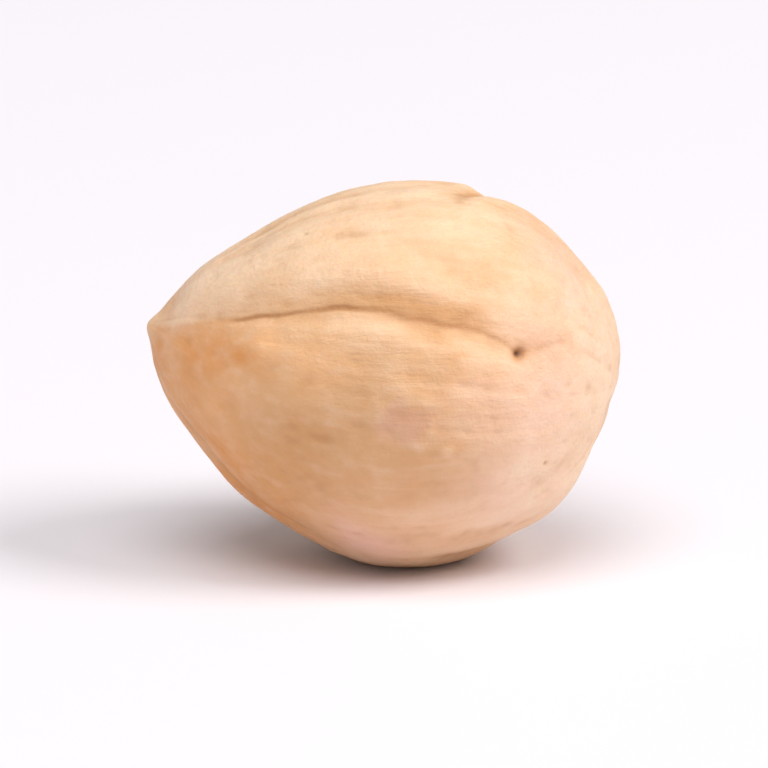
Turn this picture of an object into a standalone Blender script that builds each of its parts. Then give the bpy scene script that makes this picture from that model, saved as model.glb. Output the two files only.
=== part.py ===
"""A blanched hazelnut kernel lying on its side, in metres, +Z up.

The kernel grew as one piece, so it is one solid. A sphere is drawn out into a pointed oval whose tip
looks along -X and a little up. Lobes, veins, folds, dimples and the base scar are then raised or sunk
along the surface's own normals, and the lowest part is pressed to the small flat that it rests on.

A place on the kernel is given by way, the share of the length from the tip (0) to the base (1), and
azimuth, the angle round the length: 0 faces -Y, 90 faces up and 180 faces +Y.
"""

import math
from collections import namedtuple

import bmesh
import bpy
import numpy as np

MM = 0.001

# Driving dimensions: length from tip to base, and the two diameters across it
LENGTH = 16.25 * MM
HEIGHT = 14.3 * MM
WIDTH = 13.5 * MM
TIP_RISE_DEG = 11.5
REST_DEPTH = 0.22 * MM

# The tip half narrows from TAPER_START on. A larger TAPER_POWER makes a sharper point.
TAPER_START = 0.63
TAPER_POWER = 0.235
TAPER_EASE = 6.0
BASE_LIFT = 1.0 * MM
TIP_NUB = 0.10 * MM
TIP_NUB_WIDTH = 0.45 * MM

# Faces along each side of the cube that the grid of faces starts from
GRID = 31

# Lobes round the length: how many, height and where the first one stands, in degrees
LOBES = (
    (2, 0.12 * MM, 150.0),
    (3, 0.14 * MM, 28.0),
    (5, 0.07 * MM, 64.0),
)

# Veins are faint ridges from tip to base. They wander sideways and come and go along the length.
VEIN_COUNT = 17
VEIN_HEIGHT = 0.035 * MM
VEIN_WANDER_DEG = 9.0

# A fold runs along points of (way, azimuth in degrees, depth). Its groove opens over the width below
# it and the width above it. The lip stands above the groove and the ledge below it, as shares of the
# depth.
Fold = namedtuple("Fold", "points below above lip ledge")
FOLDS = (
    # The long fold across the front, from the tip to a small pit near the base
    Fold(
        points=(
            (0.02, 14, 0.0),
            (0.08, 21, 0.07 * MM),
            (0.18, 26, 0.12 * MM),
            (0.30, 30, 0.16 * MM),
            (0.45, 31, 0.21 * MM),
            (0.58, 29, 0.20 * MM),
            (0.68, 29, 0.14 * MM),
            (0.77, 24, 0.09 * MM),
            (0.83, 18, 0.0),
        ),
        below=0.62 * MM,
        above=0.80 * MM,
        lip=0.50,
        ledge=0.12,
    ),
    # A short slanting fold over the top
    Fold(
        points=(
            (0.50, 80, 0.0),
            (0.58, 90, 0.09 * MM),
            (0.63, 103, 0.28 * MM),
            (0.72, 118, 0.17 * MM),
            (0.82, 126, 0.07 * MM),
            (0.90, 131, 0.0),
        ),
        below=1.25 * MM,
        above=1.00 * MM,
        lip=0.20,
        ledge=0.20,
    ),
    # A broad furrow down the back, from the tip to past the middle
    Fold(
        points=(
            (0.02, 201, 0.0),
            (0.10, 205, 0.12 * MM),
            (0.24, 212, 0.19 * MM),
            (0.40, 215, 0.22 * MM),
            (0.54, 209, 0.17 * MM),
            (0.66, 212, 0.08 * MM),
            (0.76, 219, 0.0),
        ),
        below=1.10 * MM,
        above=0.60 * MM,
        lip=0.30,
        ledge=0.25,
    ),
    # A crease that starts beside that furrow and runs on to the base
    Fold(
        points=(
            (0.42, 158, 0.0),
            (0.52, 163, 0.10 * MM),
            (0.66, 161, 0.17 * MM),
            (0.80, 167, 0.15 * MM),
            (0.90, 165, 0.09 * MM),
            (0.97, 172, 0.0),
        ),
        below=0.50 * MM,
        above=0.95 * MM,
        lip=0.35,
        ledge=0.25,
    ),
    # A shallow furrow behind the crown, in the tip half
    Fold(
        points=(
            (0.03, 122, 0.0),
            (0.12, 131, 0.09 * MM),
            (0.26, 133, 0.14 * MM),
            (0.40, 139, 0.10 * MM),
            (0.52, 141, 0.0),
        ),
        below=0.80 * MM,
        above=0.70 * MM,
        lip=0.20,
        ledge=0.20,
    ),
    # A crease under the back
    Fold(
        points=(
            (0.44, 243, 0.0),
            (0.56, 248, 0.11 * MM),
            (0.70, 244, 0.16 * MM),
            (0.84, 250, 0.12 * MM),
            (0.95, 258, 0.0),
        ),
        below=0.70 * MM,
        above=0.50 * MM,
        lip=0.30,
        ledge=0.30,
    ),
    # A shallow furrow under the tip
    Fold(
        points=(
            (0.03, 288, 0.0),
            (0.12, 296, 0.10 * MM),
            (0.24, 293, 0.14 * MM),
            (0.36, 297, 0.09 * MM),
            (0.46, 300, 0.0),
        ),
        below=0.70 * MM,
        above=0.70 * MM,
        lip=0.20,
        ledge=0.20,
    ),
    # A short crease under the front, which slants away towards the base
    Fold(
        points=(
            (0.62, 303, 0.0),
            (0.72, 295, 0.10 * MM),
            (0.82, 287, 0.17 * MM),
            (0.92, 281, 0.10 * MM),
            (0.98, 278, 0.0),
        ),
        below=0.60 * MM,
        above=0.60 * MM,
        lip=0.35,
        ledge=0.20,
    ),
)
LIP_REACH = 1.7

# A spot is a round swelling (height above 0) or dimple (below 0) at one place
Spot = namedtuple("Spot", "way azimuth height radius")
SPOTS = (
    # The hollow face under the long fold, and the round mark in the middle of it
    Spot(way=0.365, azimuth=-5, height=-0.18 * MM, radius=2.4 * MM),
    Spot(way=0.560, azimuth=-1, height=0.05 * MM, radius=0.9 * MM),
    # The shoulder of the long fold, which widens before the pit, and the pit
    Spot(way=0.640, azimuth=37, height=-0.09 * MM, radius=1.1 * MM),
    Spot(way=0.770, azimuth=24, height=-0.17 * MM, radius=0.32 * MM),
    # The crest that comes down past the pit
    Spot(way=0.780, azimuth=8, height=0.09 * MM, radius=1.0 * MM),
    Spot(way=0.800, azimuth=-9, height=0.10 * MM, radius=1.1 * MM),
    Spot(way=0.790, azimuth=-28, height=0.07 * MM, radius=1.2 * MM),
    # Broad swellings and hollows of the tip, the crown, the base, the underside and the back
    Spot(way=0.030, azimuth=95, height=-0.16 * MM, radius=1.2 * MM),
    Spot(way=0.070, azimuth=-70, height=0.10 * MM, radius=1.6 * MM),
    Spot(way=0.170, azimuth=98, height=-0.18 * MM, radius=2.6 * MM),
    Spot(way=0.560, azimuth=75, height=0.06 * MM, radius=2.4 * MM),
    Spot(way=0.860, azimuth=105, height=-0.16 * MM, radius=1.6 * MM),
    Spot(way=0.970, azimuth=95, height=0.12 * MM, radius=1.5 * MM),
    Spot(way=0.400, azimuth=-78, height=-0.24 * MM, radius=2.8 * MM),
    Spot(way=0.740, azimuth=-84, height=0.14 * MM, radius=2.0 * MM),
    Spot(way=0.915, azimuth=-58, height=0.30 * MM, radius=1.5 * MM),
    Spot(way=0.640, azimuth=188, height=-0.16 * MM, radius=1.8 * MM),
    Spot(way=0.800, azimuth=200, height=0.10 * MM, radius=1.5 * MM),
    Spot(way=0.420, azimuth=255, height=0.10 * MM, radius=2.0 * MM),
    Spot(way=0.300, azimuth=170, height=0.08 * MM, radius=1.8 * MM),
)

# The scar where the kernel hung in its shell: a hollow near the base, where soft grooves run together
SCAR = Spot(way=0.975, azimuth=190, height=-0.24 * MM, radius=1.9 * MM)
SCAR_RIM = 0.07 * MM
SCAR_GROOVES = 4
SCAR_GROOVE_DEPTH = 0.12 * MM


def bell(distance, width):
    return np.exp(-((distance / width) ** 2))


def smoothstep(low, high, x):
    """0 at low, 1 at high, and a smooth rise between."""
    share = np.clip((x - low) / (high - low), 0.0, 1.0)
    return share * share * (3.0 - 2.0 * share)


def through(xs, ys, x):
    """The smooth curve through the points (xs, ys), level beyond its two ends."""
    xs, ys = np.array(xs, float), np.array(ys, float)
    slopes = np.gradient(ys, xs)
    x = np.clip(x, xs[0], xs[-1])
    span = np.clip(np.searchsorted(xs, x) - 1, 0, len(xs) - 2)
    step = xs[span + 1] - xs[span]
    t = (x - xs[span]) / step
    start = ys[span] * (1 + 2 * t) + slopes[span] * step * t
    end = ys[span + 1] * (3 - 2 * t) - slopes[span + 1] * step * (1 - t)
    return start * (1 - t) ** 2 + end * t**2


def oval(along, side, up):
    """The smooth pointed oval, from directions of a sphere, before it is laid down."""
    way = (1.0 + along) / 2.0
    reach = way / TAPER_START
    taper = (reach / (1.0 + reach**TAPER_EASE) ** (1.0 / TAPER_EASE)) ** TAPER_POWER
    lift = BASE_LIFT * way**3
    return np.stack(
        (along * LENGTH / 2, side * taper * WIDTH / 2, up * taper * HEIGHT / 2 + lift),
        axis=-1,
    )


def place(way, azimuth):
    """The point of the oval at one way and azimuth."""
    along = 2.0 * way - 1.0
    ring = math.sqrt(1.0 - along * along)
    angle = math.radians(azimuth)
    return oval(along, ring * math.cos(angle), ring * math.sin(angle))


def fold_relief(fold, way, azimuth, girth):
    """Height of one fold at each point. Across the fold, distances above it are positive."""
    ways, azimuths, depths = zip(*fold.points)
    turn = (azimuth - through(ways, azimuths, way) + 180.0) % 360.0 - 180.0
    across = np.radians(turn) * girth
    depth = np.maximum(through(ways, depths, way), 0.0)
    groove = bell(across, np.where(across > 0, fold.above, fold.below))
    lip = fold.lip * bell(across - LIP_REACH * fold.above, fold.above)
    ledge = fold.ledge * bell(across + LIP_REACH * fold.below, fold.below)
    return depth * (lip + ledge - groove)


def vein_relief(way, azimuth, ring):
    """Height of the faint ridges that run from tip to base."""
    wander = np.sin(9.0 * way + np.radians(2 * azimuth)) + np.sin(5.0 * way - np.radians(3 * azimuth))
    turn = np.radians(VEIN_COUNT * azimuth) + np.radians(VEIN_COUNT * VEIN_WANDER_DEG / 2) * wander
    strength = 0.6 + 0.4 * np.sin(7.0 * way + np.radians(4 * azimuth))
    return VEIN_HEIGHT * np.cos(turn) * strength * ring


def scar_relief(points):
    """Height of the base scar: a shallow bowl, a rim round it and grooves that run out over the rim."""
    from_centre = points - place(SCAR.way, SCAR.azimuth)
    distance = np.linalg.norm(from_centre, axis=1)
    bearing = np.arctan2(from_centre[:, 2], from_centre[:, 1])
    bowl = SCAR.height * (1.0 - smoothstep(0.2, 1.0, distance / SCAR.radius))
    rim = SCAR_RIM * bell(distance - 1.1 * SCAR.radius, 0.35 * SCAR.radius)
    spread = 0.5 + 0.5 * np.cos(SCAR_GROOVES * bearing + 1.2 * np.sin(bearing))
    grooves = SCAR_GROOVE_DEPTH * spread**3 * bell(distance - 0.9 * SCAR.radius, 0.8 * SCAR.radius)
    return bowl + rim - grooves


def relief(directions, points):
    """Height of the finished surface above the smooth oval at each point."""
    along, side, up = directions.T
    way = (1.0 + along) / 2.0
    ring = np.sqrt(np.clip(1.0 - along**2, 0.0, 1.0))
    azimuth = np.degrees(np.arctan2(up, side))
    girth = np.hypot(points[:, 1], points[:, 2] - BASE_LIFT * way**3)
    height = TIP_NUB * bell(np.linalg.norm(points - place(0.0, 0.0), axis=1), TIP_NUB_WIDTH)
    height += vein_relief(way, azimuth, ring)
    for count, lobe, first in LOBES:
        height += lobe * np.cos(np.radians(count * (azimuth - first))) * ring**count
    for fold in FOLDS:
        height += fold_relief(fold, way, azimuth, girth)
    for spot in SPOTS:
        distance = np.linalg.norm(points - place(spot.way, spot.azimuth), axis=1)
        height += spot.height * bell(distance, spot.radius)
    return height + scar_relief(points)


def sphere_grid():
    """A cube with square faces all over, blown up to an even ball. Returns its bmesh and directions."""
    ball = bmesh.new()
    bmesh.ops.create_cube(ball, size=2.0)
    bmesh.ops.subdivide_edges(ball, edges=ball.edges[:], cuts=GRID - 1, use_grid_fill=True)
    cube = np.array([vertex.co for vertex in ball.verts])
    even = np.tan(cube * math.pi / 4)
    return ball, even / np.linalg.norm(even, axis=1, keepdims=True)


def set_points(ball, points):
    for vertex, point in zip(ball.verts, points):
        vertex.co = point
    ball.normal_update()


def lay_down(points):
    """Raises the tip, presses the lowest part flat and puts the middle of the base at the origin."""
    rise = math.radians(TIP_RISE_DEG)
    along, side, up = points.T
    x = along * math.cos(rise) + up * math.sin(rise)
    z = up * math.cos(rise) - along * math.sin(rise)
    z = np.maximum(z - z.min() - REST_DEPTH, 0.0)
    y = -side
    return np.stack((x - (x.min() + x.max()) / 2, y - (y.min() + y.max()) / 2, z), axis=-1)


def kernel_mesh():
    ball, directions = sphere_grid()
    smooth = oval(*directions.T)
    set_points(ball, smooth)
    bmesh.ops.recalc_face_normals(ball, faces=ball.faces[:])
    normals = np.array([vertex.normal for vertex in ball.verts])
    shaped = smooth + normals * relief(directions, smooth)[:, None]
    set_points(ball, lay_down(shaped))
    bmesh.ops.recalc_face_normals(ball, faces=ball.faces[:])
    mesh = bpy.data.meshes.new("hazelnut_kernel")
    ball.to_mesh(mesh)
    ball.free()
    mesh.shade_smooth()
    return mesh


def kernel_material():
    material = bpy.data.materials.new("hazelnut_flesh")
    material.use_nodes = True
    shader = material.node_tree.nodes["Principled BSDF"]
    shader.inputs["Base Color"].default_value = (0.83, 0.62, 0.40, 1.0)
    shader.inputs["Roughness"].default_value = 0.5
    shader.inputs["Metallic"].default_value = 0.0
    return material


def main():
    for obj in list(bpy.data.objects):
        bpy.data.objects.remove(obj)
    kernel = bpy.data.objects.new("hazelnut_kernel", kernel_mesh())
    bpy.context.scene.collection.objects.link(kernel)
    kernel.data.materials.append(kernel_material())


main()
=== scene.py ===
"""The looks of a blanched hazelnut kernel that lies on its side: fine surface, flesh, skin traces.

The kernel has the same form as the plain solid, by the same formulas, on a much finer grid. Strands,
seams, nicks, the open pit and the torn base scar are added to it. All lengths are in metres, +Z up.

A place on the kernel is given by way, the share of the length from the tip (0) to the base (1), and
azimuth, the angle round the length: 0 faces -Y, 90 faces up and 180 faces +Y.
"""

import math
from collections import namedtuple

import bpy
import numpy as np
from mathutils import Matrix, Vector


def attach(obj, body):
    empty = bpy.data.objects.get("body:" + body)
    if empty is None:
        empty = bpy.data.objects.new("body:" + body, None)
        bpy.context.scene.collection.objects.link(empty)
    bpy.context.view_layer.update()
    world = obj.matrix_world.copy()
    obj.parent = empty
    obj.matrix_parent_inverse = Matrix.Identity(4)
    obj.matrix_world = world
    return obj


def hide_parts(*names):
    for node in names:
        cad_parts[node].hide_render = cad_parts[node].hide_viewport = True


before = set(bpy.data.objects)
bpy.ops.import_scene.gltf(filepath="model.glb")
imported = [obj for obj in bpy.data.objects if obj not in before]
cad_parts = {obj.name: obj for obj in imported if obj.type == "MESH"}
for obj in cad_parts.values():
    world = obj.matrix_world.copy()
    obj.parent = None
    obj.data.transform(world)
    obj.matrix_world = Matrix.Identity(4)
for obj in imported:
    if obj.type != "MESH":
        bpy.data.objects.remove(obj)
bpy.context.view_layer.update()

MM = 0.001

# The pointed oval
LENGTH = 16.25 * MM
HEIGHT = 14.3 * MM
WIDTH = 13.5 * MM
TIP_RISE_DEG = 11.5
REST_DEPTH = 0.22 * MM
TAPER_START = 0.63
TAPER_POWER = 0.235
TAPER_EASE = 6.0
BASE_LIFT = 1.0 * MM
TIP_NUB = 0.10 * MM
TIP_NUB_WIDTH = 0.45 * MM

# Faces along each side of the cube that the fine grid starts from
GRID = 128
# Rounds of averaging among neighbours that smooth away thin creases, and broad hollows, and the
# depths at which each is near its full painted shade, or on raised spots its full painted highlight
CREASE_ROUNDS = 24
HOLLOW_ROUNDS = 800
CREASE_FULL_DEPTH = 0.025 * MM
HOLLOW_FULL_DEPTH = 0.12 * MM

# Lobes round the length: how many, height and where the first one stands, in degrees
LOBES = (
    (2, 0.12 * MM, 150.0),
    (3, 0.14 * MM, 28.0),
    (5, 0.07 * MM, 64.0),
)
VEIN_COUNT = 17
VEIN_HEIGHT = 0.035 * MM
VEIN_WANDER_DEG = 9.0

# A fold runs along points of (way, azimuth in degrees, depth). Its groove opens over the width below
# it and the width above it. The lip stands above the groove and the ledge below it, as shares of the
# depth.
Fold = namedtuple("Fold", "points below above lip ledge")
LONG_FOLD = Fold(
    points=(
        (0.02, 14, 0.0),
        (0.08, 21, 0.07 * MM),
        (0.18, 26, 0.12 * MM),
        (0.30, 30, 0.16 * MM),
        (0.45, 31, 0.21 * MM),
        (0.58, 29, 0.20 * MM),
        (0.68, 29, 0.14 * MM),
        (0.77, 24, 0.09 * MM),
        (0.83, 18, 0.0),
    ),
    below=0.62 * MM,
    above=0.80 * MM,
    lip=0.50,
    ledge=0.12,
)
FOLDS = (
    LONG_FOLD,
    # A short slanting fold over the top
    Fold(
        points=(
            (0.50, 80, 0.0),
            (0.58, 90, 0.09 * MM),
            (0.63, 103, 0.28 * MM),
            (0.72, 118, 0.17 * MM),
            (0.82, 126, 0.07 * MM),
            (0.90, 131, 0.0),
        ),
        below=1.25 * MM,
        above=1.00 * MM,
        lip=0.20,
        ledge=0.20,
    ),
    # A broad furrow down the back, from the tip to past the middle
    Fold(
        points=(
            (0.02, 201, 0.0),
            (0.10, 205, 0.12 * MM),
            (0.24, 212, 0.19 * MM),
            (0.40, 215, 0.22 * MM),
            (0.54, 209, 0.17 * MM),
            (0.66, 212, 0.08 * MM),
            (0.76, 219, 0.0),
        ),
        below=1.10 * MM,
        above=0.60 * MM,
        lip=0.30,
        ledge=0.25,
    ),
    # A crease that starts beside that furrow and runs on to the base
    Fold(
        points=(
            (0.42, 158, 0.0),
            (0.52, 163, 0.10 * MM),
            (0.66, 161, 0.17 * MM),
            (0.80, 167, 0.15 * MM),
            (0.90, 165, 0.09 * MM),
            (0.97, 172, 0.0),
        ),
        below=0.50 * MM,
        above=0.95 * MM,
        lip=0.35,
        ledge=0.25,
    ),
    # A shallow furrow behind the crown, in the tip half
    Fold(
        points=(
            (0.03, 122, 0.0),
            (0.12, 131, 0.09 * MM),
            (0.26, 133, 0.14 * MM),
            (0.40, 139, 0.10 * MM),
            (0.52, 141, 0.0),
        ),
        below=0.80 * MM,
        above=0.70 * MM,
        lip=0.20,
        ledge=0.20,
    ),
    # A crease under the back
    Fold(
        points=(
            (0.44, 243, 0.0),
            (0.56, 248, 0.11 * MM),
            (0.70, 244, 0.16 * MM),
            (0.84, 250, 0.12 * MM),
            (0.95, 258, 0.0),
        ),
        below=0.70 * MM,
        above=0.50 * MM,
        lip=0.30,
        ledge=0.30,
    ),
    # A shallow furrow under the tip
    Fold(
        points=(
            (0.03, 288, 0.0),
            (0.12, 296, 0.10 * MM),
            (0.24, 293, 0.14 * MM),
            (0.36, 297, 0.09 * MM),
            (0.46, 300, 0.0),
        ),
        below=0.70 * MM,
        above=0.70 * MM,
        lip=0.20,
        ledge=0.20,
    ),
    # A short crease under the front, which slants away towards the base
    Fold(
        points=(
            (0.62, 303, 0.0),
            (0.72, 295, 0.10 * MM),
            (0.82, 287, 0.17 * MM),
            (0.92, 281, 0.10 * MM),
            (0.98, 278, 0.0),
        ),
        below=0.60 * MM,
        above=0.60 * MM,
        lip=0.35,
        ledge=0.20,
    ),
)
LIP_REACH = 1.7

# A spot is a round swelling (height above 0) or dimple (below 0) at one place
Spot = namedtuple("Spot", "way azimuth height radius")
SPOTS = (
    # The hollow face under the long fold, and the round mark in the middle of it
    Spot(way=0.365, azimuth=-5, height=-0.18 * MM, radius=2.4 * MM),
    Spot(way=0.560, azimuth=-1, height=0.05 * MM, radius=0.9 * MM),
    # The shoulder of the long fold, which widens before the pit, and the pit
    Spot(way=0.640, azimuth=37, height=-0.09 * MM, radius=1.1 * MM),
    Spot(way=0.770, azimuth=24, height=-0.17 * MM, radius=0.32 * MM),
    # The crest that comes down past the pit
    Spot(way=0.780, azimuth=8, height=0.09 * MM, radius=1.0 * MM),
    Spot(way=0.800, azimuth=-9, height=0.10 * MM, radius=1.1 * MM),
    Spot(way=0.790, azimuth=-28, height=0.07 * MM, radius=1.2 * MM),
    # Broad swellings and hollows of the tip, the crown, the base, the underside and the back
    Spot(way=0.030, azimuth=95, height=-0.16 * MM, radius=1.2 * MM),
    Spot(way=0.070, azimuth=-70, height=0.10 * MM, radius=1.6 * MM),
    Spot(way=0.170, azimuth=98, height=-0.18 * MM, radius=2.6 * MM),
    Spot(way=0.560, azimuth=75, height=0.06 * MM, radius=2.4 * MM),
    Spot(way=0.860, azimuth=105, height=-0.16 * MM, radius=1.6 * MM),
    Spot(way=0.970, azimuth=95, height=0.12 * MM, radius=1.5 * MM),
    Spot(way=0.400, azimuth=-78, height=-0.24 * MM, radius=2.8 * MM),
    Spot(way=0.740, azimuth=-84, height=0.14 * MM, radius=2.0 * MM),
    Spot(way=0.915, azimuth=-58, height=0.30 * MM, radius=1.5 * MM),
    Spot(way=0.640, azimuth=188, height=-0.16 * MM, radius=1.8 * MM),
    Spot(way=0.800, azimuth=200, height=0.10 * MM, radius=1.5 * MM),
    Spot(way=0.420, azimuth=255, height=0.10 * MM, radius=2.0 * MM),
    Spot(way=0.300, azimuth=170, height=0.08 * MM, radius=1.8 * MM),
)

# A smooth noise has its height, the spacing of its swells and the seed of its draws. It is a sum of
# waves, and each wave's spacing is divided by a factor between these two.
Noise = namedtuple("Noise", "height spacing seed")
WAVE_COUNT = 36
WAVE_FACTORS = (0.6, 1.4)
SEED = 41

# The open bottom of the pit, the raised edge of the round mark and the small bump beside that mark.
# The mark's edge and the rim of its tint wander, and the edge has gaps. Where the tint fades and how
# wide the mark's dip is are shares of its radius.
PIT = Spot(way=0.770, azimuth=24, height=-0.16 * MM, radius=0.15 * MM)
MARK = Spot(way=0.560, azimuth=-1, height=0.032 * MM, radius=0.95 * MM)
MARK_EDGE_WIDTH = 0.28 * MM
MARK_EDGE_WANDER = Noise(height=0.14 * MM, spacing=1.3 * MM, seed=6)
MARK_TINT_WANDER = Noise(height=0.16 * MM, spacing=1.1 * MM, seed=7)
MARK_GAPS = Noise(height=1.0, spacing=1.6 * MM, seed=8)
MARK_GAP_ENDS = (-1.2, 0.8)
MARK_TINT_FADES = (0.35, 1.30)
MARK_DIP_WIDTH = 0.7
BUMP = Spot(way=0.655, azimuth=-9, height=0.055 * MM, radius=0.28 * MM)

# The scar where the kernel hung in its shell: a hollow near the base, where soft grooves run together
SCAR = Spot(way=0.975, azimuth=190, height=-0.24 * MM, radius=1.9 * MM)
SCAR_RIM = 0.07 * MM
SCAR_GROOVES = 4
SCAR_GROOVE_DEPTH = 0.12 * MM
SCAR_CRACKS = 31
SCAR_CRACK_DEPTH = 0.011 * MM
SCAR_CRACK_WANDER = Noise(height=0.10, spacing=1.3 * MM, seed=3)
SCAR_GRAIN = Noise(height=0.009 * MM, spacing=0.42 * MM, seed=4)
# More of its measures, as shares of its radius: where the bowl's wall rises, where the cracks set in
# and end, where the stain fades, and the place and width of the rim, the grooves and the ring of skin
SCAR_WALL = (0.2, 1.0)
SCAR_CRACKS_SET_IN = (0.15, 0.5)
SCAR_CRACKS_END = (0.75, 1.25)
SCAR_STAIN_FADES = (0.3, 1.0)
SCAR_RIM_AT = 1.1
SCAR_RIM_WIDTH = 0.35
SCAR_GROOVES_AT = 0.9
SCAR_GROOVES_WIDTH = 0.8
SKIN_RING_AT = 1.02
SKIN_RING_WIDTH = 0.20

# Fine surface: swells all over, and strands along the length, which are this much longer than they
# are wide and lower in calm areas
SWELLS = (
    Noise(height=0.022 * MM, spacing=3.4 * MM, seed=10),
    Noise(height=0.009 * MM, spacing=1.5 * MM, seed=11),
    Noise(height=0.0035 * MM, spacing=0.62 * MM, seed=12),
)
STRANDS = (
    Noise(height=0.009 * MM, spacing=1.10 * MM, seed=20),
    Noise(height=0.005 * MM, spacing=0.52 * MM, seed=21),
    Noise(height=0.0025 * MM, spacing=0.28 * MM, seed=22),
)
CALM_AREAS = Noise(height=1.0, spacing=5.0 * MM, seed=5)
STRAND_STRETCH = 9.0
# The kernel's usual radius, which spreads the strands evenly round it
MEAN_RADIUS = 6.5 * MM

# Thin seams along the bottom of the folds, with their full depth where the fold is deep enough. They
# wander, come and go, and thin to half their strength between two ways.
SEAM_DEPTH = 0.055 * MM
SEAM_WIDTH = 0.11 * MM
SEAMED_FOLD_DEPTH = 0.20 * MM
SEAM_BREAKS = Noise(height=1.5, spacing=3.2 * MM, seed=1)
SEAM_WANDER = Noise(height=0.03 * MM, spacing=1.8 * MM, seed=2)
SEAM_THINS = (0.40, 0.58)

# Nicks from rubbing, with the least and greatest radius and way. A nick's depth is a share of its
# radius.
NICKS = 60
NICK_DEPTH = 0.025
NICK_RADII = (0.15 * MM, 0.50 * MM)
NICK_WAYS = (0.06, 0.94)

# Pinholes: small open pores with a dark bottom. Their height is a share of the pit's.
PINHOLES = (
    Spot(way=0.280, azimuth=66, height=0.25, radius=0.10 * MM),
    Spot(way=0.690, azimuth=104, height=0.60, radius=0.11 * MM),
    Spot(way=0.820, azimuth=148, height=0.50, radius=0.12 * MM),
    Spot(way=0.330, azimuth=187, height=0.55, radius=0.12 * MM),
    Spot(way=0.600, azimuth=228, height=0.60, radius=0.13 * MM),
    Spot(way=0.870, azimuth=-20, height=0.40, radius=0.10 * MM),
    Spot(way=0.480, azimuth=-70, height=0.50, radius=0.11 * MM),
)

# Short creases, through places of (way, azimuth in degrees)
Crease = namedtuple("Crease", "places depth width")
CREASES = (
    # From the notch in the crown down towards the long fold
    Crease(((0.610, 45), (0.585, 56), (0.578, 69), (0.600, 82), (0.636, 95)), 0.026 * MM, 0.30 * MM),
    # From the pit on towards the base
    Crease(((0.775, 24), (0.815, 28), (0.860, 33), (0.905, 46)), 0.030 * MM, 0.20 * MM),
    # Two that leave the back's crease, and one under the tip
    Crease(((0.660, 163), (0.700, 148), (0.755, 139), (0.800, 124)), 0.045 * MM, 0.24 * MM),
    Crease(((0.560, 166), (0.520, 180), (0.500, 194), (0.455, 207)), 0.040 * MM, 0.22 * MM),
    Crease(((0.300, 296), (0.345, 312), (0.400, 322)), 0.030 * MM, 0.20 * MM),
)

# Where the flesh has another colour than plain cream, or has painted shade or painted light. Each patch has
# its strength and radius. The patches' edges wander, and each set of patches has its own seed for that.
Patch = namedtuple("Patch", "way azimuth strength radius")
PATCH_WANDER = 0.35 * MM
PATCH_WANDER_SPACING = 2.4 * MM
SKIN_SEED = 53
TAN_SEED = 60
AMBER_SEED = 70
PINK_SEED = 80
PEACH_SEED = 90
PALE_SEED = 100
# Tan, partly the flesh's own colour and partly painted shade: on the lower face and its lower edge, on the
# ledge under the long fold, round the pit and the shoulder beyond it, and at the top near the base
TAN_AND_SHADE_PATCHES = (
    Patch(way=0.36, azimuth=-14, strength=0.90, radius=3.3 * MM),
    Patch(way=0.60, azimuth=-12, strength=0.75, radius=2.4 * MM),
    Patch(way=0.40, azimuth=-46, strength=0.80, radius=2.6 * MM),
    Patch(way=0.58, azimuth=21, strength=0.75, radius=1.2 * MM),
    Patch(way=0.66, azimuth=20, strength=0.90, radius=1.1 * MM),
    Patch(way=0.81, azimuth=22, strength=0.90, radius=0.9 * MM),
    Patch(way=0.66, azimuth=45, strength=0.45, radius=1.5 * MM),
    Patch(way=0.79, azimuth=41, strength=0.50, radius=1.3 * MM),
    Patch(way=0.78, azimuth=83, strength=0.50, radius=1.2 * MM),
    Patch(way=0.50, azimuth=205, strength=0.60, radius=2.8 * MM),
    Patch(way=0.975, azimuth=190, strength=0.80, radius=1.9 * MM),
    Patch(way=0.70, azimuth=262, strength=0.50, radius=2.6 * MM),
)
# Amber near the tip, and painted shade along the lower edge towards the tip
AMBER_AND_SHADE_PATCHES = (
    Patch(way=0.115, azimuth=0, strength=0.80, radius=1.7 * MM),
    Patch(way=0.035, azimuth=-5, strength=0.90, radius=1.0 * MM),
    Patch(way=0.190, azimuth=16, strength=0.95, radius=1.0 * MM),
    Patch(way=0.040, azimuth=-75, strength=0.75, radius=1.4 * MM),
    Patch(way=0.075, azimuth=-40, strength=0.50, radius=1.4 * MM),
    Patch(way=0.170, azimuth=-50, strength=0.80, radius=2.0 * MM),
    Patch(way=0.280, azimuth=-66, strength=0.90, radius=2.3 * MM),
    Patch(way=0.10, azimuth=210, strength=0.55, radius=1.8 * MM),
)
# Pink blush, and on the underside painted reflected light from the floor
PINK_AND_REFLECTION_PATCHES = (
    Patch(way=0.85, azimuth=12, strength=0.70, radius=2.4 * MM),
    Patch(way=0.82, azimuth=-30, strength=0.55, radius=2.6 * MM),
    Patch(way=0.53, azimuth=-52, strength=0.90, radius=1.7 * MM),
    Patch(way=0.84, azimuth=68, strength=0.60, radius=1.8 * MM),
    Patch(way=0.06, azimuth=80, strength=0.45, radius=1.6 * MM),
    Patch(way=0.74, azimuth=150, strength=0.45, radius=2.4 * MM),
)
PEACH_PATCHES = (
    Patch(way=0.245, azimuth=16, strength=0.95, radius=0.8 * MM),
    Patch(way=0.325, azimuth=15, strength=0.65, radius=1.2 * MM),
    Patch(way=0.160, azimuth=-26, strength=0.50, radius=1.1 * MM),
)
# Pale flesh, and painted light on the lit right rim, the lower right and the top near the tip
PALE_AND_LIT_PATCHES = (
    Patch(way=0.950, azimuth=25, strength=0.80, radius=2.2 * MM),
    Patch(way=0.880, azimuth=-32, strength=0.85, radius=2.2 * MM),
    Patch(way=0.070, azimuth=50, strength=0.70, radius=1.2 * MM),
    Patch(way=0.160, azimuth=70, strength=0.75, radius=2.2 * MM),
    Patch(way=0.440, azimuth=80, strength=0.50, radius=2.4 * MM),
    Patch(way=0.60, azimuth=175, strength=0.50, radius=2.0 * MM),
)
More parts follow.
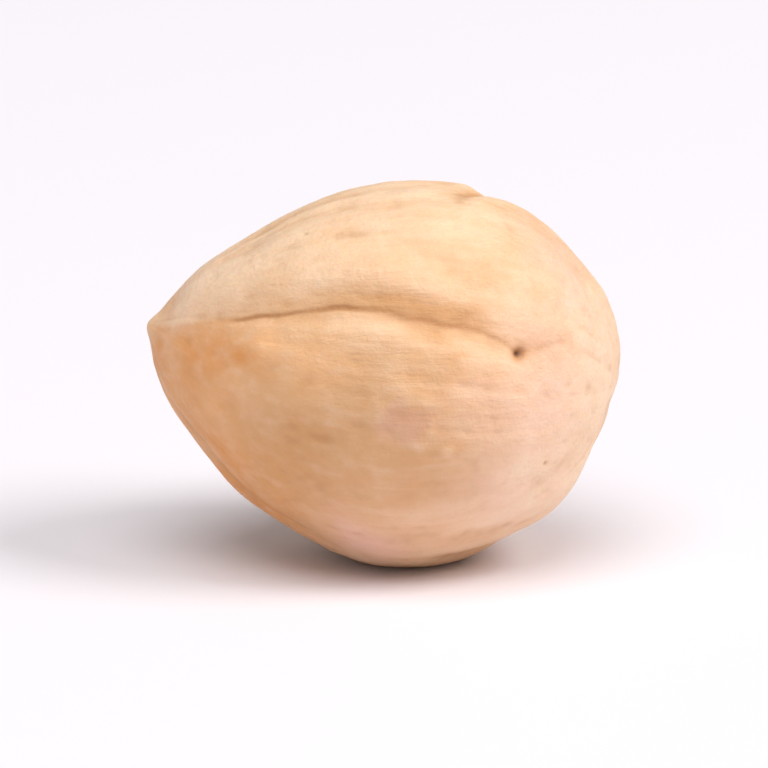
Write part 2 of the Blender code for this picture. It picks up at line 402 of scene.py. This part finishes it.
# The painted shade band on the long fold's shoulder, where it overhangs the groove: its strength, how far
# its middle lies from the groove, its width, and the ways between which it sets in and fades out
BAND_STRENGTH = 0.85
BAND_OFFSET = 0.40 * MM
BAND_WIDTH = 0.55 * MM
BAND_SETS_IN = (0.26, 0.48)
BAND_FADES = (0.60, 0.78)
# The long fold bounds the amber and its painted shade: it loses this share of its strength between these
# distances across
AMBER_LOSS = 0.85
AMBER_BOUND = (-0.12 * MM, 0.24 * MM)
# Scraps of brown skin that are left in the back's folds and behind the crown, the broken ring of skin
# round the scar, the stain in the scar, and how ragged the scraps are
SKIN_PATCHES = (
    Patch(way=0.66, azimuth=162, strength=0.55, radius=0.55 * MM),
    Patch(way=0.40, azimuth=214, strength=0.50, radius=0.60 * MM),
    Patch(way=0.71, azimuth=245, strength=0.55, radius=0.50 * MM),
    Patch(way=0.90, azimuth=120, strength=0.50, radius=0.45 * MM),
)
SKIN_RING_STRENGTH = 0.5
SKIN_RING_GAPS = Noise(height=1.0, spacing=2.2 * MM, seed=50)
SKIN_RING_GAP_ENDS = (-0.2, 1.4)
SKIN_STAIN_STRENGTH = 0.30
SKIN_RAG_ENDS = (-0.9, 1.3)
SKIN_RAGS = (
    Noise(height=1.0, spacing=0.9 * MM, seed=51),
    Noise(height=0.5, spacing=0.35 * MM, seed=52),
)

# The camera looks at the middle of the kernel from far off, through a long lens
MIDDLE = Vector((0.0, 0.0, 6.2 * MM))
CAMERA_COMPASS = 0
CAMERA_ELEVATION = 15
CAMERA_DISTANCE = 0.415
CAMERA_LENS_MM = 560
CAMERA_CLIP = (0.01, 10.0)

FLOOR_HALF_WIDTH = 1.5
STUDIO_BRIGHTNESS = 0.31


def bell(distance, width):
    """1 at distance 0, and a smooth fall to nearly 0 at twice the width."""
    return np.exp(-((distance / width) ** 2))


def smoothstep(low, high, x):
    """0 at low, 1 at high, and a smooth rise between."""
    share = np.clip((x - low) / (high - low), 0.0, 1.0)
    return share * share * (3.0 - 2.0 * share)


def through(xs, ys, x):
    """The smooth curve through the points (xs, ys), level beyond its two ends."""
    xs, ys = np.array(xs, float), np.array(ys, float)
    slopes = np.gradient(ys, xs)
    x = np.clip(x, xs[0], xs[-1])
    span = np.clip(np.searchsorted(xs, x) - 1, 0, len(xs) - 2)
    step = xs[span + 1] - xs[span]
    t = (x - xs[span]) / step
    start = ys[span] * (1 + 2 * t) + slopes[span] * step * t
    end = ys[span + 1] * (3 - 2 * t) - slopes[span + 1] * step * (1 - t)
    return start * (1 - t) ** 2 + end * t**2


def waves(points, noise):
    """Smooth, even noise about 0, with swells that lie about one spacing apart."""
    draw = np.random.default_rng(SEED + noise.seed)
    bearings = draw.normal(size=(WAVE_COUNT, points.shape[1]))
    bearings /= np.linalg.norm(bearings, axis=1, keepdims=True)
    turns = 2 * math.pi / noise.spacing * draw.uniform(*WAVE_FACTORS, WAVE_COUNT)
    phases = draw.uniform(0, 2 * math.pi, WAVE_COUNT)
    total = np.zeros(len(points))
    for bearing, turn, phase in zip(bearings, turns, phases):
        total += np.cos(points @ bearing * turn + phase)
    return noise.height * total * math.sqrt(2 / WAVE_COUNT)


def oval(along, side, up):
    """The smooth pointed oval, from directions of a sphere, before it is laid down."""
    way = (1.0 + along) / 2.0
    reach = way / TAPER_START
    taper = (reach / (1.0 + reach**TAPER_EASE) ** (1.0 / TAPER_EASE)) ** TAPER_POWER
    lift = BASE_LIFT * way**3
    return np.stack(
        (along * LENGTH / 2, side * taper * WIDTH / 2, up * taper * HEIGHT / 2 + lift),
        axis=-1,
    )


def place(way, azimuth):
    """The point of the oval at one way and azimuth."""
    along = 2.0 * way - 1.0
    ring = math.sqrt(1.0 - along * along)
    angle = math.radians(azimuth)
    return oval(along, ring * math.cos(angle), ring * math.sin(angle))


def away_from(spot, points):
    return np.linalg.norm(points - place(spot.way, spot.azimuth), axis=1)


class Ground:
    """The smooth oval's points, with the way, azimuth and other measures that the relief needs."""

    def __init__(self, directions):
        along, side, up = directions.T
        self.points = oval(along, side, up)
        self.way = (1.0 + along) / 2.0
        self.ring = np.sqrt(np.clip(1.0 - along**2, 0.0, 1.0))
        self.azimuth = np.degrees(np.arctan2(up, side))
        lift = BASE_LIFT * self.way**3
        self.radius = np.hypot(self.points[:, 1], self.points[:, 2] - lift)
        round_it = np.radians(self.azimuth)
        self.strand_space = MEAN_RADIUS * np.stack(
            (np.cos(round_it), np.sin(round_it), self.points[:, 0] / MEAN_RADIUS / STRAND_STRETCH),
            axis=-1,
        )


def across_fold(fold, ground):
    """Distance across a fold, positive above it, and the fold's depth there."""
    ways, azimuths, depths = zip(*fold.points)
    turn = ground.azimuth - through(ways, azimuths, ground.way)
    turn = (turn + 180.0) % 360.0 - 180.0
    depth = np.maximum(through(ways, depths, ground.way), 0.0)
    return np.radians(turn) * ground.radius, depth


def fold_relief(fold, ground):
    across, depth = across_fold(fold, ground)
    groove = bell(across, np.where(across > 0, fold.above, fold.below))
    lip = fold.lip * bell(across - LIP_REACH * fold.above, fold.above)
    ledge = fold.ledge * bell(across + LIP_REACH * fold.below, fold.below)
    return depth * (lip + ledge - groove)


def vein_relief(ground):
    """Height of the faint ridges that run from tip to base."""
    way, azimuth = ground.way, ground.azimuth
    wander = np.sin(9.0 * way + np.radians(2 * azimuth)) + np.sin(5.0 * way - np.radians(3 * azimuth))
    turn = np.radians(VEIN_COUNT * azimuth) + np.radians(VEIN_COUNT * VEIN_WANDER_DEG / 2) * wander
    strength = 0.6 + 0.4 * np.sin(7.0 * way + np.radians(4 * azimuth))
    return VEIN_HEIGHT * np.cos(turn) * strength * ground.ring


def scar_bearing(points):
    """The direction in which each point lies from the scar's centre."""
    from_centre = points - place(SCAR.way, SCAR.azimuth)
    return np.arctan2(from_centre[:, 2], from_centre[:, 1])


def scar_relief(points):
    """Height of the base scar: a shallow bowl, a rim round it and grooves that run out over the rim."""
    out = away_from(SCAR, points) / SCAR.radius
    bearing = scar_bearing(points)
    bowl = SCAR.height * (1.0 - smoothstep(*SCAR_WALL, out))
    rim = SCAR_RIM * bell(out - SCAR_RIM_AT, SCAR_RIM_WIDTH)
    spread = 0.5 + 0.5 * np.cos(SCAR_GROOVES * bearing + 1.2 * np.sin(bearing))
    grooves = SCAR_GROOVE_DEPTH * spread**3 * bell(out - SCAR_GROOVES_AT, SCAR_GROOVES_WIDTH)
    return bowl + rim - grooves


def main_relief(ground):
    """Height of the main form above the smooth oval: all that the plain solid has too."""
    height = TIP_NUB * bell(np.linalg.norm(ground.points - place(0.0, 0.0), axis=1), TIP_NUB_WIDTH)
    height += vein_relief(ground)
    for count, lobe, first in LOBES:
        turn = np.radians(count * (ground.azimuth - first))
        height += lobe * np.cos(turn) * ground.ring**count
    for fold in FOLDS:
        height += fold_relief(fold, ground)
    for spot in SPOTS:
        height += spot.height * bell(away_from(spot, ground.points), spot.radius)
    return height + scar_relief(ground.points)


def seam_share(ground):
    """How much of a seam runs through each point, 0 to 1: thin lines along the bottom of the folds."""
    share = np.zeros(len(ground.points))
    broken = 0.70 + 0.30 * np.tanh(waves(ground.points, SEAM_BREAKS))
    broken *= 1.0 - 0.5 * smoothstep(*SEAM_THINS, ground.way)
    wander = waves(ground.points, SEAM_WANDER)
    for fold in FOLDS:
        across, depth = across_fold(fold, ground)
        share += depth / SEAMED_FOLD_DEPTH * bell(across + wander, SEAM_WIDTH) * broken
    return np.clip(share, 0.0, 1.0)


def patches(spots, ground, seed):
    """How strongly each point belongs to the patches, 0 to 1. The patches' edges wander."""
    wander = [Noise(PATCH_WANDER, PATCH_WANDER_SPACING, seed + axis) for axis in range(3)]
    moved = ground.points + np.stack([waves(ground.points, noise) for noise in wander], axis=-1)
    rest = np.ones(len(moved))
    for spot in spots:
        rest *= 1.0 - spot.strength * bell(away_from(spot, moved), spot.radius)
    return 1.0 - rest


def tan_and_shade_share(ground):
    """The tan patches, partly painted shade, and the painted shade band on the long fold's shoulder, above
    its groove.
    """
    across, _ = across_fold(LONG_FOLD, ground)
    window = smoothstep(*BAND_SETS_IN, ground.way) * (1.0 - smoothstep(*BAND_FADES, ground.way))
    shade_band = BAND_STRENGTH * bell(across - BAND_OFFSET, BAND_WIDTH) * window
    return np.maximum(patches(TAN_AND_SHADE_PATCHES, ground, TAN_SEED), shade_band)


def amber_and_shade_share(ground):
    """The amber patches, partly painted shade on the lower side, which the long fold bounds above."""
    across, _ = across_fold(LONG_FOLD, ground)
    return patches(AMBER_AND_SHADE_PATCHES, ground, AMBER_SEED) * (1.0 - AMBER_LOSS * smoothstep(*AMBER_BOUND, across))


def crease_relief(crease, ground):
    """A short groove that fades towards both of its ends."""
    line = [place(*at) for at in crease.places]
    nearest = np.full(len(ground.points), np.inf)
    fade = np.zeros(len(ground.points))
    for index, (start, end) in enumerate(zip(line, line[1:])):
        along = end - start
        share = np.clip((ground.points - start) @ along / (along @ along), 0.0, 1.0)
        distance = np.linalg.norm(ground.points - start - share[:, None] * along, axis=1)
        closer = distance < nearest
        nearest = np.where(closer, distance, nearest)
        fade = np.where(closer, np.sin(math.pi * (index + share) / (len(line) - 1)), fade)
    return -crease.depth * bell(nearest, crease.width) * np.maximum(fade, 0.0)


def nick_relief(ground):
    """Small shallow dents from rubbing, scattered all over."""
    draw = np.random.default_rng(SEED)
    height = np.zeros(len(ground.points))
    for _ in range(NICKS):
        radius = draw.uniform(*NICK_RADII)
        nick = Spot(draw.uniform(*NICK_WAYS), draw.uniform(0, 360), -NICK_DEPTH * radius, radius)
        height += nick.height * bell(away_from(nick, ground.points), nick.radius)
    return height


def pinhole_share(ground):
    """How much of a pinhole or of the pit lies at each point, 0 to 1."""
    share = bell(away_from(PIT, ground.points), PIT.radius)
    for hole in PINHOLES:
        share += hole.height * bell(away_from(hole, ground.points), hole.radius)
    return share


def mark_share(ground):
    """How much of the round mark's rosy colour lies at each point, 0 to 1."""
    distance = away_from(MARK, ground.points) + waves(ground.points, MARK_TINT_WANDER)
    return 1.0 - smoothstep(*MARK_TINT_FADES, distance / MARK.radius)


def mark_relief(ground):
    """The raised edge of the round mark, and the bump beside it."""
    distance = away_from(MARK, ground.points) + waves(ground.points, MARK_EDGE_WANDER)
    edge = bell(distance - MARK.radius, MARK_EDGE_WIDTH)
    edge *= smoothstep(*MARK_GAP_ENDS, waves(ground.points, MARK_GAPS))
    height = MARK.height * (edge - bell(distance, MARK_DIP_WIDTH * MARK.radius))
    return height + BUMP.height * bell(away_from(BUMP, ground.points), BUMP.radius)


def torn_scar_relief(ground):
    """Fine cracks and grain in the base scar."""
    out = away_from(SCAR, ground.points) / SCAR.radius
    inside = 1.0 - smoothstep(*SCAR_CRACKS_END, out)
    bearing = scar_bearing(ground.points) + waves(ground.points, SCAR_CRACK_WANDER)
    cracks = np.abs(np.sin(SCAR_CRACKS * bearing / 2)) ** 0.5 - 1.0
    cracks *= smoothstep(*SCAR_CRACKS_SET_IN, out)
    return inside * (SCAR_CRACK_DEPTH * cracks + waves(ground.points, SCAR_GRAIN))


def fine_relief(ground):
    """Height of the fine surface above the main form."""
    height = nick_relief(ground) + mark_relief(ground) + torn_scar_relief(ground)
    height -= SEAM_DEPTH * seam_share(ground)
    height += PIT.height * pinhole_share(ground)
    for crease in CREASES:
        height += crease_relief(crease, ground)
    for swells in SWELLS:
        height += waves(ground.points, swells)
    calm = ground.ring * (0.6 + 0.4 * np.tanh(waves(ground.points, CALM_AREAS)))
    for strands in STRANDS:
        height += waves(ground.strand_space, strands) * calm
    return height


def sphere_grid():
    """Directions and square faces of a ball whose grid is even, with the seams of its six sides joined."""
    steps = np.tan(np.linspace(-1.0, 1.0, GRID + 1) * math.pi / 4)
    u, v = (axis.ravel() for axis in np.meshgrid(steps, steps, indexing="ij"))
    corner = np.arange((GRID + 1) ** 2).reshape(GRID + 1, GRID + 1)
    square = np.stack((corner[:-1, :-1], corner[1:, :-1], corner[1:, 1:], corner[:-1, 1:]), axis=-1)
    points, faces = [], []
    for axis in range(3):
        for sign in (-1.0, 1.0):
            side = np.empty((len(u), 3))
            side[:, axis] = sign
            side[:, (axis + 1) % 3] = u
            side[:, (axis + 2) % 3] = v
            order = square.reshape(-1, 4) if sign > 0 else square.reshape(-1, 4)[:, ::-1]
            faces.append(order + len(points) * len(u))
            points.append(side)
    points = np.concatenate(points)
    _, kept, merged = np.unique(np.round(points, 6), axis=0, return_index=True, return_inverse=True)
    directions = points[kept]
    directions /= np.linalg.norm(directions, axis=1, keepdims=True)
    return directions, merged.ravel()[np.concatenate(faces)]


def lay_down(points, main_points):
    """Raises the tip, mirrors azimuth 0 to -Y and presses the lowest part flat, as on the main form."""
    rise = math.radians(TIP_RISE_DEG)
    turn = np.array(
        (
            (math.cos(rise), 0.0, math.sin(rise)),
            (0.0, -1.0, 0.0),
            (-math.sin(rise), 0.0, math.cos(rise)),
        )
    )
    laid, main = points @ turn.T, main_points @ turn.T
    middle = (main.min(axis=0) + main.max(axis=0)) / 2
    floor = main[:, 2].min() + REST_DEPTH
    laid -= np.array((middle[0], middle[1], floor))
    laid[:, 2] = np.maximum(laid[:, 2], 0.0)
    return laid


def neighbour_mean(values, edges, times):
    """Each point's value, averaged with its neighbours' again and again."""
    count = np.bincount(edges.ravel(), minlength=len(values))
    for _ in range(times):
        total = np.bincount(edges[:, 0], values[edges[:, 1]], len(values))
        total += np.bincount(edges[:, 1], values[edges[:, 0]], len(values))
        values = (values + total / count) / 2
    return values


def skin_share(ground):
    """Where brown skin is left: a broken ring round the stained scar, and a few scraps in the folds."""
    out = away_from(SCAR, ground.points) / SCAR.radius
    ring = SKIN_RING_STRENGTH * bell(out - SKIN_RING_AT, SKIN_RING_WIDTH)
    ring *= smoothstep(*SKIN_RING_GAP_ENDS, waves(ground.points, SKIN_RING_GAPS))
    stain = SKIN_STAIN_STRENGTH * (1.0 - smoothstep(*SCAR_STAIN_FADES, out))
    ragged = sum(waves(ground.points, rags) for rags in SKIN_RAGS)
    scraps = patches(SKIN_PATCHES, ground, SKIN_SEED) * smoothstep(*SKIN_RAG_ENDS, ragged)
    return np.clip(ring + stain + scraps, 0.0, 1.0)


def add_attribute(mesh, name, values):
    attribute = mesh.attributes.new(name, "FLOAT", "POINT")
    attribute.data.foreach_set("value", np.asarray(values, np.float32))


def point_normals(mesh):
    normals = np.empty(3 * len(mesh.vertices))
    mesh.vertex_normals.foreach_get("vector", normals)
    return normals.reshape(-1, 3)


def store_depth(mesh, height):
    """Stores how far each point lies below the mean round it, and that mean below a wider one: the drivers
    of painted shade in creases and hollows and of painted highlight on raised spots.
    """
    edges = np.empty(2 * len(mesh.edges), np.int32)
    mesh.edges.foreach_get("vertices", edges)
    edges = edges.reshape(-1, 2)
    near = neighbour_mean(height, edges, CREASE_ROUNDS)
    wide = neighbour_mean(height, edges, HOLLOW_ROUNDS)
    add_attribute(mesh, "crease", np.tanh((near - height) / CREASE_FULL_DEPTH))
    add_attribute(mesh, "hollow", np.tanh((wide - near) / HOLLOW_FULL_DEPTH))


def store_shares(mesh, ground):
    """Stores how much of each colour, painted shade and painted light lies at each point."""
    add_attribute(mesh, "tan", tan_and_shade_share(ground))
    add_attribute(mesh, "amber", amber_and_shade_share(ground))
    add_attribute(mesh, "pink", patches(PINK_AND_REFLECTION_PATCHES, ground, PINK_SEED))
    add_attribute(mesh, "peach", patches(PEACH_PATCHES, ground, PEACH_SEED))
    add_attribute(mesh, "pale", patches(PALE_AND_LIT_PATCHES, ground, PALE_SEED))
    add_attribute(mesh, "skin", skin_share(ground))
    add_attribute(mesh, "seam", seam_share(ground))
    add_attribute(mesh, "mark", mark_share(ground))
    add_attribute(mesh, "pinhole", np.clip(pinhole_share(ground), 0.0, 1.0))


def fine_kernel():
    """The kernel's fine mesh, with the shares of each colour stored at its points."""
    directions, faces = sphere_grid()
    ground = Ground(directions)
    mesh = bpy.data.meshes.new("hazelnut_kernel_fine")
    mesh.from_pydata(ground.points.tolist(), [], faces.tolist())
    mesh.update()
    normals = point_normals(mesh)
    main = main_relief(ground)
    fine = fine_relief(ground)
    main_points = ground.points + normals * main[:, None]
    points = lay_down(main_points + normals * fine[:, None], main_points)
    mesh.vertices.foreach_set("co", points.astype(np.float32).ravel())
    # lay_down mirrors the mesh, which turns its faces inwards
    mesh.flip_normals()
    mesh.update()
    mesh.shade_smooth()
    store_depth(mesh, main + fine)
    store_shares(mesh, ground)
    return mesh


def colour(red, green, blue):
    """A colour of 0 to 255 a channel, as the shader's own linear values."""
    shares = [channel / 255 for channel in (red, green, blue)]
    return tuple(((c + 0.055) / 1.055) ** 2.4 if c > 0.04045 else c / 12.92 for c in shares) + (1.0,)


CREAM = colour(241, 203, 165)
TAN = colour(215, 161, 108)
AMBER = colour(228, 151, 74)
PINK = colour(240, 194, 175)
ROSE = colour(218, 166, 142)
PALE = colour(246, 216, 187)
PEACH = colour(252, 198, 146)
CREASE_SHADE = colour(180, 122, 72)
SKIN = colour(150, 90, 40)
PIT_COLOUR = colour(122, 88, 60)
FLOOR_COLOUR = colour(238, 235, 242)

# The flesh's colours, from the cream up, with painted shade and painted light among them. A layer grows
# from nothing where its driver, a noise or a stored share, has the start value to this thickness where it
# has the full value.
Layer = namedtuple("Layer", "driver start full thickness tint")
CLOUD_LAYERS = (
    Layer("clouds", start=0.30, full=0.75, thickness=0.35, tint=TAN),
    Layer("clouds", start=0.60, full=0.30, thickness=0.22, tint=PALE),
)
# The tan, amber, pink and pale shares hold painted shade and painted light as well as the flesh's own tints
STORED_TINTS = (("tan", TAN), ("amber", AMBER), ("pink", PINK), ("peach", PEACH), ("pale", PALE))
MARK_THICKNESS = 0.55
SURFACE_LAYERS = (
    Layer("streaks", start=0.42, full=0.80, thickness=0.17, tint=TAN),
    Layer("streaks", start=0.55, full=0.20, thickness=0.22, tint=PALE),
    Layer("grains", start=0.45, full=0.80, thickness=0.14, tint=TAN),
    # Painted shade: tan where the surface lies in a broad hollow
    Layer("hollow", start=0.0, full=1.0, thickness=0.50, tint=TAN),
    # Painted shade: darker where a point lies below the mean round it, in creases
    Layer("crease", start=0.05, full=1.0, thickness=0.42, tint=CREASE_SHADE),
    # Painted highlight: paler where a point stands above the mean round it
    Layer("crease", start=0.0, full=-1.0, thickness=0.30, tint=PALE),
)
SKIN_THICKNESS = 0.9
LAST_LAYERS = (
    # Painted shade along the seams at the bottom of the folds
    Layer("seam", start=0.0, full=0.8, thickness=0.75, tint=CREASE_SHADE),
    Layer("pinhole", start=0.1, full=1.0, thickness=0.85, tint=PIT_COLOUR),
)
# How much rougher skin is than the flesh, and the heights of the pores, and of the pebbling and the
# fibres against those of the pores
SKIN_ROUGHNESS = 0.25
PORE_HEIGHT = 0.035 * MM
PEBBLE_HEIGHT = 1.5
FIBRE_HEIGHT = 1.6


class Nodes:
    """Short ways to add a material's nodes and join them."""

    def __init__(self, material):
        self.tree = material.node_tree
        self.shader = self.tree.nodes["Principled BSDF"]
        self.place = self.tree.nodes.new("ShaderNodeTexCoord").outputs["Object"]

    def put(self, socket, value):
        if isinstance(value, bpy.types.NodeSocket):
            self.tree.links.new(value, socket)
        else:
            socket.default_value = value

    def share(self, name):
        """One of the shares stored at the mesh's points."""
        node = self.tree.nodes.new("ShaderNodeAttribute")
        node.attribute_name = name
        return node.outputs["Fac"]

    def math(self, operation, a, b=0.0, clamp=False):
        node = self.tree.nodes.new("ShaderNodeMath")
        node.operation = operation
        node.use_clamp = clamp
        self.put(node.inputs[0], a)
        self.put(node.inputs[1], b)
        return node.outputs[0]

    def lengthwise(self, squeeze):
        """Places on the kernel, squeezed along its length, so that noise is drawn out that way."""
        node = self.tree.nodes.new("ShaderNodeMapping")
        self.put(node.inputs["Vector"], self.place)
        node.inputs["Rotation"].default_value = (0.0, math.radians(TIP_RISE_DEG), 0.0)
        node.inputs["Scale"].default_value = (squeeze, 1.0, 1.0)
        return node.outputs["Vector"]

    def noise(self, spacing, detail, roughness, vector=None):
        """Cloudy noise around 0.5, with clouds about one spacing wide and this much detail in them."""
        node = self.tree.nodes.new("ShaderNodeTexNoise")
        self.put(node.inputs["Vector"], vector or self.place)
        node.inputs["Scale"].default_value = 1.0 / spacing
        node.inputs["Detail"].default_value = detail
        node.inputs["Roughness"].default_value = roughness
        return node.outputs["Fac"]

    def between(self, value, low, high, start, end):
        """start where value is low, end where it is high, and a smooth change between."""
        node = self.tree.nodes.new("ShaderNodeMapRange")
        node.interpolation_type = "SMOOTHSTEP"
        self.put(node.inputs["Value"], value)
        self.put(node.inputs["From Min"], low)
        self.put(node.inputs["From Max"], high)
        self.put(node.inputs["To Min"], start)
        self.put(node.inputs["To Max"], end)
        return node.outputs["Result"]

    def blend(self, share, under, over):
        """The colour over laid on the colour under, as thickly as share says."""
        node = self.tree.nodes.new("ShaderNodeMix")
        node.data_type = "RGBA"
        self.put(node.inputs["Factor"], share)
        self.put(node.inputs["A"], under)
        self.put(node.inputs["B"], over)
        return node.outputs["Result"]


def colour_drivers(nodes):
    """The noises and stored shares that the layers of the flesh's colour follow, by name."""
    drivers = {name: nodes.share(name) for name in ("hollow", "crease", "seam", "pinhole")}
    drivers["clouds"] = nodes.noise(2.6 * MM, detail=3.0, roughness=0.55)
    drivers["streaks"] = nodes.noise(0.50 * MM, detail=3.0, roughness=0.5, vector=nodes.lengthwise(0.09))
    drivers["grains"] = nodes.noise(0.16 * MM, detail=3.0, roughness=0.6)
    return drivers


def lay_layers(nodes, layers, drivers, flesh):
    for layer in layers:
        share = nodes.between(drivers[layer.driver], layer.start, layer.full, start=0.0, end=layer.thickness)
        flesh = nodes.blend(share, flesh, layer.tint)
    return flesh


def mix_colours(nodes):
    """Cream flesh, tinted by the stored shares, streaks, mottling and traces of skin, with painted shade and
    painted light.
    """
    drivers = colour_drivers(nodes)
    mottling = nodes.noise(0.55 * MM, detail=5.0, roughness=0.62)
    flesh = lay_layers(nodes, CLOUD_LAYERS, drivers, CREAM)
    for name, tint in STORED_TINTS:
        uneven = nodes.between(mottling, 0.25, 0.62, start=0.84, end=1.06)
        flesh = nodes.blend(nodes.math("MULTIPLY", nodes.share(name), uneven, clamp=True), flesh, tint)
    flesh = nodes.blend(nodes.math("MULTIPLY", nodes.share("mark"), MARK_THICKNESS), flesh, ROSE)
    flesh = lay_layers(nodes, SURFACE_LAYERS, drivers, flesh)
    uneven = nodes.between(mottling, 0.20, 0.62, start=0.25, end=1.0)
    skin = nodes.math("MULTIPLY", nodes.share("skin"), uneven)
    flesh = nodes.blend(nodes.math("MULTIPLY", skin, SKIN_THICKNESS, clamp=True), flesh, SKIN)
    return lay_layers(nodes, LAST_LAYERS, drivers, flesh)


def satin_roughness(nodes):
    """The flesh's roughness, which varies a little and is greater where skin is left."""
    sheen = nodes.noise(0.9 * MM, detail=4.0, roughness=0.6)
    rough = nodes.between(sheen, 0.35, 0.65, start=0.44, end=0.58)
    skin = nodes.math("MULTIPLY", nodes.share("skin"), SKIN_ROUGHNESS)
    return nodes.math("ADD", rough, skin, clamp=True)


def fine_bump(nodes):
    """Pores, pebbling and lengthwise fibres that are too fine for the mesh."""
    pores = nodes.noise(0.13 * MM, detail=3.0, roughness=0.6)
    pebbles = nodes.noise(0.38 * MM, detail=2.0, roughness=0.5)
    pebbles = nodes.math("MULTIPLY", pebbles, PEBBLE_HEIGHT)
    fibres = nodes.noise(0.16 * MM, detail=3.0, roughness=0.6, vector=nodes.lengthwise(0.10))
    fibres = nodes.math("MULTIPLY", fibres, FIBRE_HEIGHT)
    bump = nodes.tree.nodes.new("ShaderNodeBump")
    bump.inputs["Strength"].default_value = 0.70
    bump.inputs["Distance"].default_value = PORE_HEIGHT
    nodes.put(bump.inputs["Height"], nodes.math("ADD", nodes.math("ADD", pores, fibres), pebbles))
    return bump.outputs["Normal"]


def kernel_material():
    """Satin flesh that lets some light in."""
    material = bpy.data.materials.new("blanched_flesh")
    material.use_nodes = True
    nodes = Nodes(material)
    shader = nodes.shader
    nodes.put(shader.inputs["Base Color"], mix_colours(nodes))
    nodes.put(shader.inputs["Roughness"], satin_roughness(nodes))
    nodes.put(shader.inputs["Normal"], fine_bump(nodes))
    shader.inputs["IOR"].default_value = 1.45
    shader.inputs["Specular IOR Level"].default_value = 0.42
    shader.inputs["Subsurface Weight"].default_value = 0.22
    shader.inputs["Subsurface Radius"].default_value = (1.0, 0.5, 0.22)
    shader.inputs["Subsurface Scale"].default_value = 0.9 * MM
    return material


def add_floor():
    """A wide pale ground."""
    mesh = bpy.data.meshes.new("ground")
    half = FLOOR_HALF_WIDTH
    corners = ((-half, -half), (half, -half), (half, half), (-half, half))
    mesh.from_pydata([(x, y, 0.0) for x, y in corners], [], [(0, 1, 2, 3)])
    floor = bpy.data.objects.new("ground", mesh)
    bpy.context.scene.collection.objects.link(floor)
    material = bpy.data.materials.new("white_ground")
    material.use_nodes = True
    shader = material.node_tree.nodes["Principled BSDF"]
    shader.inputs["Base Color"].default_value = FLOOR_COLOUR
    shader.inputs["Roughness"].default_value = 0.6
    mesh.materials.append(material)


def outward(compass, elevation):
    """The direction away from the kernel, seen from above (0 towards -Y, 90 towards +X), and upwards."""
    c, e = math.radians(compass), math.radians(elevation)
    return Vector((math.sin(c) * math.cos(e), -math.cos(c) * math.cos(e), math.sin(e)))


def add_light(name, compass, elevation, distance, size, watts, tint):
    """A round soft light that points at the kernel."""
    lamp = bpy.data.lights.new(name, "AREA")
    lamp.shape = "DISK"
    lamp.size = size
    lamp.energy = watts
    lamp.color = tint
    light = bpy.data.objects.new(name, lamp)
    away = outward(compass, elevation)
    light.location = MIDDLE + away * distance
    light.rotation_euler = (-away).to_track_quat("-Z", "Y").to_euler()
    light.visible_camera = False
    bpy.context.scene.collection.objects.link(light)


def add_lights():
    """A key light from the base's side, a broad fill from the front and above, and a pale studio."""
    add_light("key", compass=75, elevation=45, distance=1.0, size=0.5, watts=6.0, tint=(1.0, 0.965, 0.94))
    add_light("fill", compass=-10, elevation=70, distance=1.2, size=1.0, watts=9.8, tint=(1.0, 0.98, 0.96))
    world = bpy.data.worlds.new("studio")
    bpy.context.scene.world = world
    world.use_nodes = True
    background = world.node_tree.nodes["Background"]
    background.inputs["Color"].default_value = (1.0, 1.0, 1.0, 1.0)
    background.inputs["Strength"].default_value = STUDIO_BRIGHTNESS


def add_camera():
    """The photograph's view: the long fold's side, from a little above."""
    data = bpy.data.cameras.new("camera")
    data.lens = CAMERA_LENS_MM
    data.clip_start, data.clip_end = CAMERA_CLIP
    camera = bpy.data.objects.new("camera", data)
    away = outward(CAMERA_COMPASS, CAMERA_ELEVATION)
    camera.location = MIDDLE + away * CAMERA_DISTANCE
    camera.rotation_euler = (-away).to_track_quat("-Z", "Y").to_euler()
    bpy.context.scene.collection.objects.link(camera)
    bpy.context.scene.camera = camera


kernel = bpy.data.objects.new("hazelnut_kernel_fine", fine_kernel())
bpy.context.scene.collection.objects.link(kernel)
kernel.data.materials.append(kernel_material())
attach(kernel, "root")
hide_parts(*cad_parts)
add_floor()
add_lights()
add_camera()
bpy.context.scene.view_settings.view_transform = "Standard"
